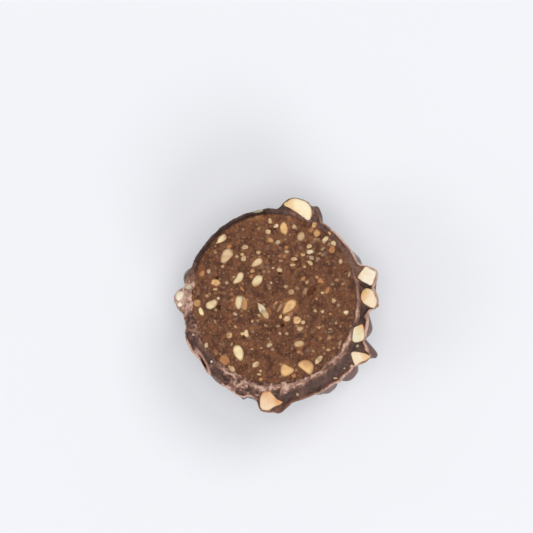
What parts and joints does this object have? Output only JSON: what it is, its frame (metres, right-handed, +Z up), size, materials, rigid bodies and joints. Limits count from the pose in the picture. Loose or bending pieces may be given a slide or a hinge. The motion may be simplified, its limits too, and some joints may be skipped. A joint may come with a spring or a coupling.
{
  "type": "hazelnut energy ball half",
  "caption": "Half of a chocolate-dipped hazelnut energy ball: a nut-speckled paste filling in a lumpy dark coating set with hazelnut pieces, lying cut face up.",
  "frame": {"origin": "centre of the flat foot under the middle of the cut face", "axes": "+Z up, out of the cut face; +X to the side of the three hazelnut pieces in a row; +Y away from the thick side of the coating"},
  "size_m": [0.0425, 0.0443, 0.0185],
  "materials": {
    "filling": "moist brown nut paste, cut with a knife",
    "coating": "satin dark chocolate, lumpy outside and knife-cut at the rim",
    "hazelnut": "cut roasted hazelnut, cream with tan edges"
  },
  "bodies": {
    "root": {"filling": "filling", "coating": "coating", "hazelnut_top": "hazelnut", "hazelnut_right_high": "hazelnut", "hazelnut_right_middle": "hazelnut", "hazelnut_right_low": "hazelnut", "hazelnut_lower_right": "hazelnut", "hazelnut_bottom": "hazelnut", "hazelnut_left": "hazelnut"}
  },
  "joints": []
}
